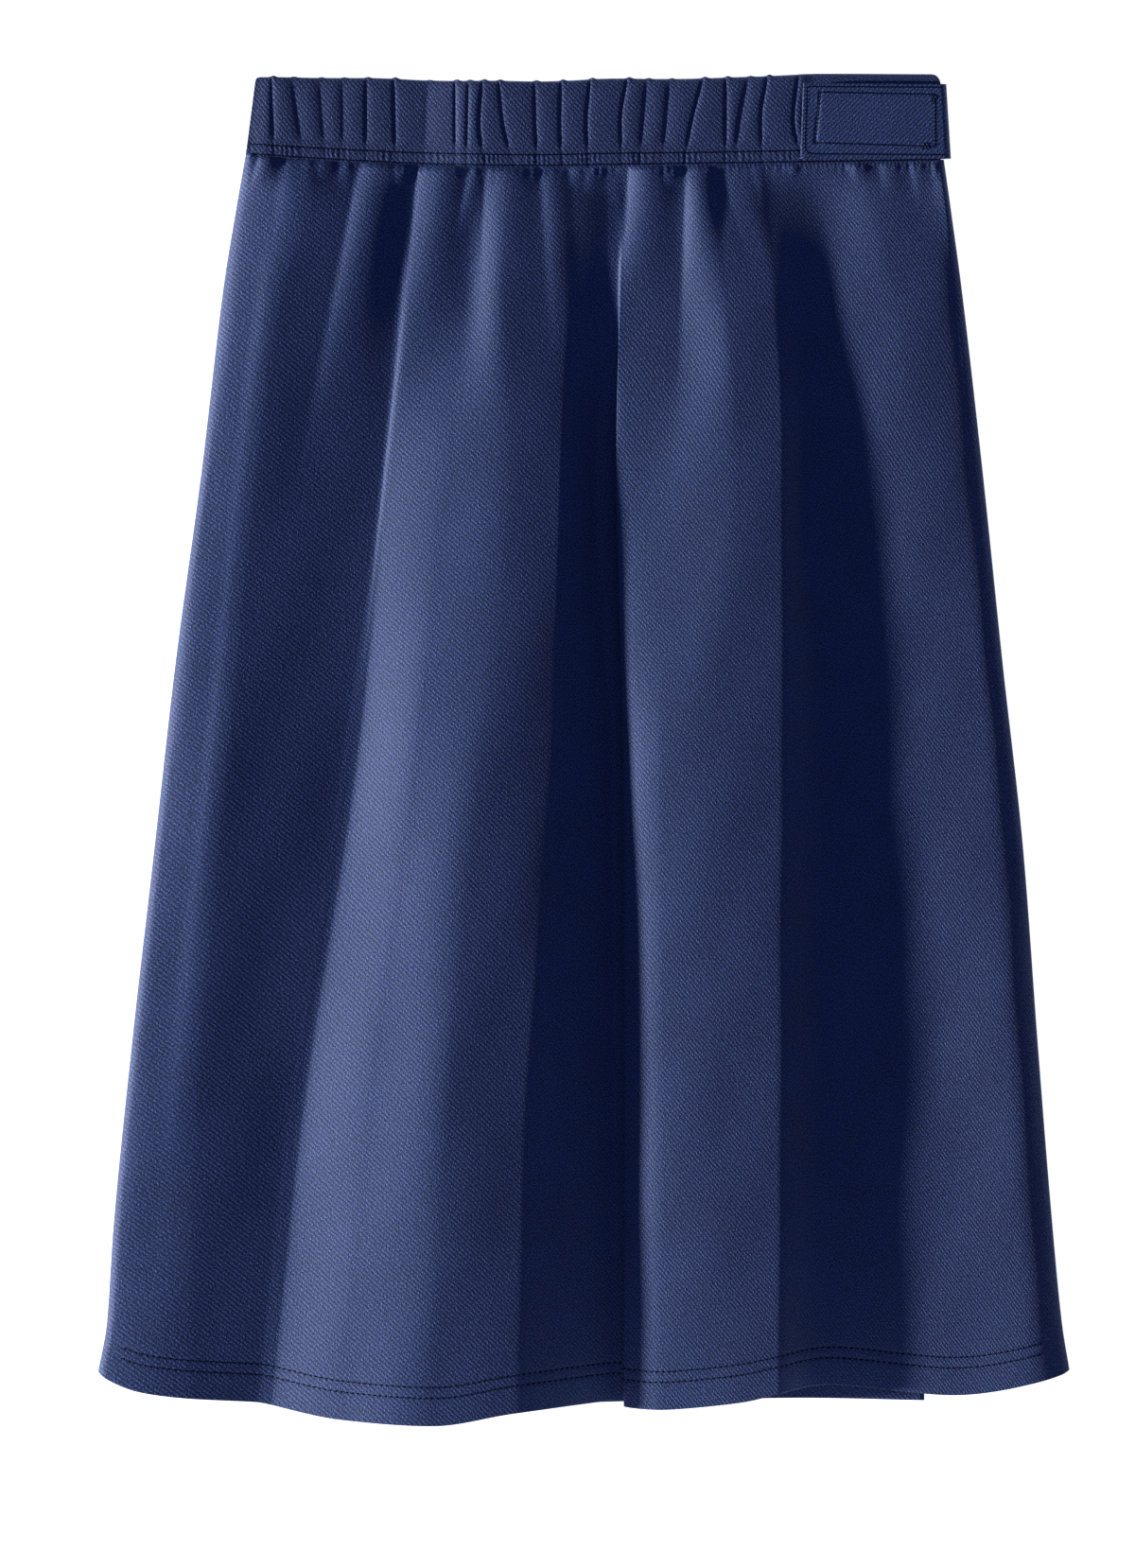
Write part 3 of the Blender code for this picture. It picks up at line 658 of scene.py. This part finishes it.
def add_waistbands(finish):
    left = End(BAND_TOP_LEFT, BAND_SEAM_LEFT, BAND_CORNER)
    hip = End(RIGHT_END, RIGHT_END, HIP_CORNER)
    outer_end = End(OUTER_BAND_END, OUTER_BAND_END, BAND_CORNER)
    inner_end = End(INNER_BAND_END, INNER_BAND_END, BAND_CORNER)
    add_band("front_waistband_casing", "front_waistband", 760, (left, hip),
             lambda x: front_face(x) - CASING, front_face, front_puff, finish, top_bumps)
    add_band("back_outer_casing", "back_outer_waistband", 180, (left, outer_end),
             level_at(0.0), level_at(CASING), back_puff, finish)
    add_band("back_inner_casing", "back_inner_waistband", 140, (inner_end, hip),
             level_at(INNER_BAND_FLOOR), level_at(INNER_BAND_FLOOR + CASING), back_puff, finish)


# ---------------------------------------------------------------- tab

TAB_ROWS = 60
TAPE_BOX = [(126.5, 352.0), (187.7, 350.8), (187.7, 322.9), (123.7, 324.9)]
TAB_EDGE_ROW = [(190.5, 354.6), (119.0, 355.0), (117.9, 321.0), (120.6, 318.9), (194.5, 318.4)]
BACKTACKS = [(185.6, 348.6), (181.0, 323.2)]


def tab_path(end, hip):
    bend = np.linspace(0, np.pi / 2, 8)
    under = [(x, 0.0) for x in np.linspace(TAB_UNDER, hip - TAB_CORNER, 8)[:-1]]
    low = [(hip - TAB_CORNER * (1 - np.sin(a)), TAB_CORNER * (1 - np.cos(a))) for a in bend]
    high = [(hip - TAB_CORNER * (1 - np.cos(a)), TAB_FACE - TAB_CORNER * (1 - np.sin(a)))
            for a in bend]
    over = [(x, TAB_FACE) for x in np.linspace(hip - TAB_CORNER, end, 120)[1:]]
    return np.array(under + low + high + over)


def tab_points():
    rows = []
    for share in np.linspace(0, 1, TAB_ROWS + 1):
        end = mix(TAB_END_LOW[0], TAB_END_TOP[0], share)
        path = tab_path(end, mix(TAB_HIP_LOW[0], TAB_HIP_TOP[0], share))[::-1]
        low = np.interp(path[:, 0], *zip(TAB_END_LOW, TAB_HIP_LOW))
        high = np.interp(path[:, 0], *zip(TAB_END_TOP, TAB_HIP_TOP))
        rows.append(np.stack((path[:, 0], mix(low, high, share), path[:, 1]), axis=1))
    return np.array(rows)


def along_corners(corners, step=0.5):
    """A path of close points through the corners."""
    legs = []
    for start, end in zip(corners[:-1], corners[1:]):
        count = max(2, int(np.hypot(end[0] - start[0], end[1] - start[1]) / step))
        legs.append(np.linspace(start, end, count))
    return np.concatenate(legs)


def off_line(x, y, corners):
    """Distance from the line through the corners."""
    nearest = np.full_like(x, 99.0)
    for (ax, ay), (bx, by) in zip(corners[:-1], corners[1:]):
        share = ((x - ax) * (bx - ax) + (y - ay) * (by - ay)) / ((bx - ax) ** 2 + (by - ay) ** 2)
        share = np.clip(share, 0, 1)
        gap = np.hypot(x - ax - share * (bx - ax), y - ay - share * (by - ay))
        nearest = np.minimum(nearest, gap)
    return nearest


def tab_relief(x, y):
    """The tape's plateau under the tab's cloth, and the grooves of its stitching."""
    tape = ease((x - TAPE_BOX[3][0]) / 1.5) * ease((TAPE_BOX[1][0] - x) / 24)
    tape = tape * ease((y - TAPE_BOX[2][1]) / 5) * ease((TAPE_BOX[0][1] - y) / 5)
    box = off_line(x, y, TAPE_BOX + TAPE_BOX[:1])
    edge = off_line(x, y, TAB_EDGE_ROW)
    deep = 0.05 + 0.45 * (1 - ease((x - 125) / 4))
    return 0.25 * tape - deep * np.exp(-(box / 0.8) ** 2) - 0.1 * np.exp(-(edge / ROW_GROOVE) ** 2)


def add_tab(finish):
    points = tab_points()
    points[0, 0] += (TAB_CHAMFER * 0.6, TAB_CHAMFER * 0.25, 0)
    points[1, 0] += (TAB_CHAMFER * 0.25, 0, 0)
    points[0, 1] += (TAB_CHAMFER * 0.2, TAB_CHAMFER * 0.1, 0)
    on_top = points[:, :, 2] > TAB_FACE - 0.01
    relief = tab_relief(points[:, :, 0], points[:, :, 1])
    points[:, :, 2] += np.where(on_top, relief, 0)
    threads = np.stack((running(across_steps(points)), points[:, :, 1]), axis=2)
    piece = add_cloth("hip_tab_cloth", sheet("hip_tab_cloth", points, threads), finish, "hip_tab")
    wall(piece, TAB)


def tab_rows():
    """The tab's stitching: round its edges, round the tape, and the two backtacks."""
    rows = [Row(lift(along_corners(corners)), *TAB_STITCH)
            for corners in (TAB_EDGE_ROW, TAPE_BOX + TAPE_BOX[:1])]
    for x, y in BACKTACKS:
        zigzag = [(x + 0.9 * k, y + (1.6 if k % 2 else -1.6)) for k in range(5)]
        rows.append(Row(lift(along_corners(zigzag)), *BACKTACK_STITCH))
    return rows


def lift(plan):
    """A plan path laid on the tab's face."""
    x, y = plan[:, 0], plan[:, 1]
    return np.stack((x, y, TAB_FACE + tab_relief(x, y) + THREAD * 0.2), axis=1)


# ---------------------------------------------------------------- stitches

Row = namedtuple("Row", "path stitch gap")


def add_stitches(name, rows, thread, hole_shade):
    """Short rounded stitches end to end along each row's path, and between them a dark ellipsoid of
    painted shade for the needle's puncture.
    """
    threads, hole_shades = bmesh.new(), bmesh.new()
    for row in rows:
        step = np.linalg.norm(np.diff(row.path, axis=0), axis=1)
        length = np.concatenate(([0], np.cumsum(step)))
        for start in np.arange(0, length[-1] - row.stitch, row.stitch + row.gap):
            ends = [np.array([np.interp(at, length, row.path[:, k]) for k in range(3)])
                    for at in (start + row.gap / 2, start + row.gap / 2 + row.stitch)]
            along = Vector(ends[1] - ends[0])
            lay(threads, (ends[0] + ends[1]) / 2, along, (row.stitch / 2, THREAD / 2, THREAD / 2))
            lay(hole_shades, ends[0] - np.array(along.normalized()) * row.gap / 2, along,
                (row.gap * 0.8 + 0.1, *NEEDLE_HOLE))
    return [add_detail(name, threads, thread), add_detail(name + "_holes", hole_shades, hole_shade)]


def lay(form, middle, along, size):
    """A small ellipsoid: its middle, its long way and its three half sizes."""
    turn = along.to_track_quat("X", "Z").to_matrix().to_4x4()
    scale = Matrix.Diagonal((*[half * MM for half in size], 1))
    place = Matrix.Translation(in_frame(middle)) @ turn @ scale
    bmesh.ops.create_icosphere(form, subdivisions=1, radius=1.0, matrix=place)


def add_detail(name, form, finish):
    mesh = bpy.data.meshes.new(name)
    form.to_mesh(mesh)
    form.free()
    return add_cloth(name, mesh, finish)


def front_path(depth, low=3.6, high=None):
    high = len(FOLDS) + 2 * len(ROLLS) - 1 - low if high is None else high
    path = front_row(depth, np.linspace(low, high, 1400))
    path[:, 2] += THREAD * 0.2
    return path


def casing_path(row, low, high):
    x = np.linspace(low, high, 900)
    level = 1 - row / CASING_HEIGHT
    y = mix(waist_top(x), waist_seam(x), level)
    z = front_face(x) + front_puff(x, level) + THREAD * 0.3
    return np.stack((x, y, z), axis=1)


# ---------------------------------------------------------------- finishes

class Wire:
    """A socket or a number that Math nodes can be written on as arithmetic."""

    def __init__(self, tree, socket):
        self.tree = tree
        self.socket = socket

    def node(self, kind, inputs=(), output=0, **settings):
        """Any node: its type, its settings, and values or links for its sockets."""
        made = self.tree.nodes.new(kind)
        for name, value in settings.items():
            setattr(made, name, value)
        pairs = inputs.items() if isinstance(inputs, dict) else enumerate(inputs)
        for key, value in pairs:
            if isinstance(value, Wire):
                self.tree.links.new(value.socket, made.inputs[key])
            elif value is not None:
                made.inputs[key].default_value = value
        return Wire(self.tree, made.outputs[output])

    def math(self, operation, *inputs):
        return self.node("ShaderNodeMath", inputs, operation=operation)

    def __add__(self, other):
        return self.math("ADD", self, other)

    def __sub__(self, other):
        return self.math("SUBTRACT", self, other)

    def __mul__(self, other):
        return self.math("MULTIPLY", self, other)

    def __rsub__(self, other):
        return self.math("SUBTRACT", other, self)

    __radd__ = __add__
    __rmul__ = __mul__


def new_finish(name):
    material = bpy.data.materials.new(name)
    material.use_nodes = True
    surface = material.node_tree.nodes["Principled BSDF"]
    return material, surface, Wire(material.node_tree, None)


def between_shades(start, factor, deep, light):
    return start.node("ShaderNodeMix", {"Factor": factor, 6: deep, 7: light}, output=2,
                      data_type="RGBA")


def finish_with(surface, **wires):
    """Links a colour and a bump to the surface."""
    for name, wire in wires.items():
        wire.tree.links.new(wire.socket, surface.inputs[name.replace("_", " ")])


RIB_PITCH = 1.85 * MM
CLOTH_DEEP = (0.001, 0.006, 0.040, 1)
CLOTH_LIGHT = (0.045, 0.090, 0.280, 1)


def cloth_finish(name, across=1.0, painted_shade=0.0):
    """Navy double-knit twill: slanting ribs of small stitches, with a slight sheen."""
    material, surface, start = new_finish(name)
    place = start.node("ShaderNodeUVMap", uv_map="cloth")
    u = start.node("ShaderNodeSeparateXYZ", (place,))
    v = Wire(start.tree, u.socket.node.outputs[1])
    drift = start.node("ShaderNodeTexNoise", {"Vector": place, "Scale": 260.0, "Detail": 2.0})
    loops = start.node("ShaderNodeTexNoise", {"Vector": place, "Scale": 1150.0, "Detail": 2.0})
    fuzz = start.node("ShaderNodeTexNoise", {"Vector": place, "Scale": 1700.0, "Detail": 1.0})
    patch = start.node("ShaderNodeTexNoise", {"Vector": place, "Scale": 30.0, "Detail": 3.0})
    phase = (u * across + v) * (2 * np.pi / (RIB_PITCH * np.sqrt(2))) + drift * 3.0 + loops * 2.4
    rib = start.math("SINE", phase) * 0.5 + 0.5
    knot = start.math("SMOOTH_MAX", loops * 3.2 - 1.2, 0.0, 0.2)
    height = rib * (knot * 0.6 + 0.2) + fuzz * 0.9
    # The tone's last term lowers the whole tone: painted shade, given to the casing's copy of this
    # same twill.
    tone = rib * 0.2 + knot * 0.9 + fuzz * 2.8 + patch * 0.25 - 1.65 - painted_shade
    shade = between_shades(start, tone, CLOTH_DEEP, CLOTH_LIGHT)
    bump = start.node("ShaderNodeBump", {"Strength": 0.7, "Distance": 0.0004, "Height": height})
    finish_with(surface, Base_Color=shade, Normal=bump)
    surface.inputs["Roughness"].default_value = 0.6
    surface.inputs["Specular IOR Level"].default_value = 0.4
    surface.inputs["Sheen Weight"].default_value = 0.06
    surface.inputs["Sheen Roughness"].default_value = 0.5
    surface.inputs["Sheen Tint"].default_value = (0.75, 0.85, 1.0, 1)
    return material


def thread_finish():
    """Polyester sewing thread, two plies twisted."""
    material, surface, start = new_finish("sewing_thread")
    place = start.node("ShaderNodeTexCoord", output=3)
    ply = start.node("ShaderNodeTexWave", {"Vector": place, "Scale": 900.0, "Distortion": 1.0},
                     output=1, bands_direction="DIAGONAL")
    shade = between_shades(start, ply, (0.006, 0.014, 0.055, 1), (0.022, 0.036, 0.120, 1))
    finish_with(surface, Base_Color=shade)
    surface.inputs["Roughness"].default_value = 0.55
    return material


def hole_shade_finish():
    """Painted shade of the needle's punctures, where the cloth is drawn down round the thread: a
    near-black colour standing in for the shade inside them.
    """
    material, surface, start = new_finish("needle_hole_painted_shade")
    place = start.node("ShaderNodeTexCoord", output=3)
    fuzz = start.node("ShaderNodeTexNoise", {"Vector": place, "Scale": 1500.0})
    shade = between_shades(start, fuzz, (0.001, 0.002, 0.010, 1), (0.004, 0.007, 0.024, 1))
    finish_with(surface, Base_Color=shade)
    surface.inputs["Roughness"].default_value = 0.9
    surface.inputs["Specular IOR Level"].default_value = 0.1
    return material


def tape_finish():
    """Nylon fastening tape: short dense hooks or loops."""
    material, surface, start = new_finish("fastening_tape")
    place = start.node("ShaderNodeTexCoord", output=3)
    pile = start.node("ShaderNodeTexVoronoi", {"Vector": place, "Scale": 1100.0})
    shade = between_shades(start, pile, (0.02, 0.023, 0.05, 1), (0.006, 0.007, 0.018, 1))
    bump = start.node("ShaderNodeBump", {"Strength": 0.8, "Distance": 0.0005, "Height": pile})
    finish_with(surface, Base_Color=shade, Normal=bump)
    surface.inputs["Roughness"].default_value = 0.6
    return material


# ---------------------------------------------------------------- studio

def add_camera():
    data = bpy.data.cameras.new("camera")
    data.sensor_width = SENSOR
    data.lens = SENSOR * CAMERA_HEIGHT / (FRAME_PIXELS[1] * MM_PER_PIXEL)
    data.clip_end = 30
    camera = bpy.data.objects.new("camera", data)
    bpy.context.collection.objects.link(camera)
    camera.location = in_frame((*FRAME_CENTRE, CAMERA_HEIGHT))
    bpy.context.scene.camera = camera


def add_floor():
    form = bmesh.new()
    bmesh.ops.create_grid(form, x_segments=1, y_segments=1, size=6.0)
    mesh = bpy.data.meshes.new("floor")
    form.to_mesh(mesh)
    form.free()
    material, surface, _ = new_finish("pale_floor")
    surface.inputs["Base Color"].default_value = (0.9, 0.9, 0.9, 1)
    surface.inputs["Roughness"].default_value = 0.9
    surface.inputs["Emission Color"].default_value = (1, 1, 1, 1)
    surface.inputs["Emission Strength"].default_value = 0.95
    mesh.materials.append(material)
    floor = bpy.data.objects.new("floor", mesh)
    floor.location.z = -0.0002
    bpy.context.collection.objects.link(floor)


KEY_ELEVATION = 9.2                # degrees over the floor
KEY_SPREAD = 3.0                   # the width of its disc, in degrees
KEY_TURN = 3.0                     # degrees from straight left, toward the hem
KEY_STRENGTH = 8.6
HEM_CARD = (70.0, -425.0, 38.0)    # a pale card that lights the hem's right half
CARD_SIZE = (0.38, 0.03)
CARD_TILT = 62
CARD_STRENGTH = 0.09
FILL_COLOUR = (0.5, 0.72, 1.5, 1)
FILL_STRENGTH = 0.155


def add_lights():
    key = bpy.data.lights.new("key", "SUN")
    key.energy = KEY_STRENGTH
    key.angle = np.radians(KEY_SPREAD)
    lamp = bpy.data.objects.new("key", key)
    rise = np.tan(np.radians(KEY_ELEVATION))
    way = Matrix.Rotation(np.radians(KEY_TURN), 3, "Z") @ Vector((-1, 0, rise))
    lamp.rotation_euler = way.to_track_quat("Z", "Y").to_euler()
    bpy.context.collection.objects.link(lamp)
    card = bpy.data.lights.new("hem_card", "AREA")
    card.shape = "RECTANGLE"
    card.size, card.size_y = CARD_SIZE
    card.energy = CARD_STRENGTH
    board = bpy.data.objects.new("hem_card", card)
    board.location = in_frame(HEM_CARD)
    board.rotation_euler = (np.radians(CARD_TILT), 0, 0)
    board.visible_camera = False
    bpy.context.collection.objects.link(board)
    world = bpy.data.worlds.new("studio")
    world.use_nodes = True
    back = world.node_tree.nodes["Background"]
    back.inputs["Color"].default_value = FILL_COLOUR
    back.inputs["Strength"].default_value = FILL_STRENGTH
    bpy.context.scene.world = world
    bpy.context.scene.view_settings.view_transform = "Standard"


# ---------------------------------------------------------------- the skirt

def main():
    add_camera()
    add_floor()
    add_lights()
    cloth = cloth_finish("navy_twill")
    cross_cloth = cloth_finish("navy_twill_cross_cut", across=-1.0)
    # The casing's twill is the same cloth drawn darker: painted shade.
    casing_painted_shade_cloth = cloth_finish("navy_twill_casing_painted_shade", painted_shade=0.11)
    thread = thread_finish()
    # Near-black finish: painted shade for the needle's punctures.
    hole_shade = hole_shade_finish()
    tape = tape_finish()

    front = add_front_panel(cloth)
    outer = add_back_panel("back_outer_cloth", "back_outer_panel", outer_guides, (160,), OUTER_HEM,
                           on_the_surface, cloth)
    inner = add_back_panel("back_inner_cloth", "back_inner_panel", inner_guides, (96, 10, 26),
                           INNER_HEM, inner_underside, cloth)
    add_waistbands(casing_painted_shade_cloth)
    add_tab(cross_cloth)

    hem = [Row(front_path(DEPTHS[-1] - row), *HEM_STITCH) for row in HEM_ROWS]
    hem_stitches = add_stitches("hem_stitches", hem, thread, hole_shade)
    under_tab = TAB_END_LOW[0] + 2
    casing = [Row(casing_path(row, BAND_SEAM_LEFT + 2.5, under_tab), *CASING_STITCH)
              for row in CASING_ROWS]
    casing.append(Row(casing_path(CASING_ROWS[0], under_tab, RIGHT_END - 1), *CASING_STITCH))
    add_stitches("waist_stitches", casing, thread, hole_shade)
    add_stitches("tab_stitches", tab_rows(), thread, hole_shade)

    for node in ("tab_hook_tape", "waistband_loop_tape"):
        piece = bpy.data.objects[node]
        for slot in piece.material_slots:
            slot.material = tape


main()
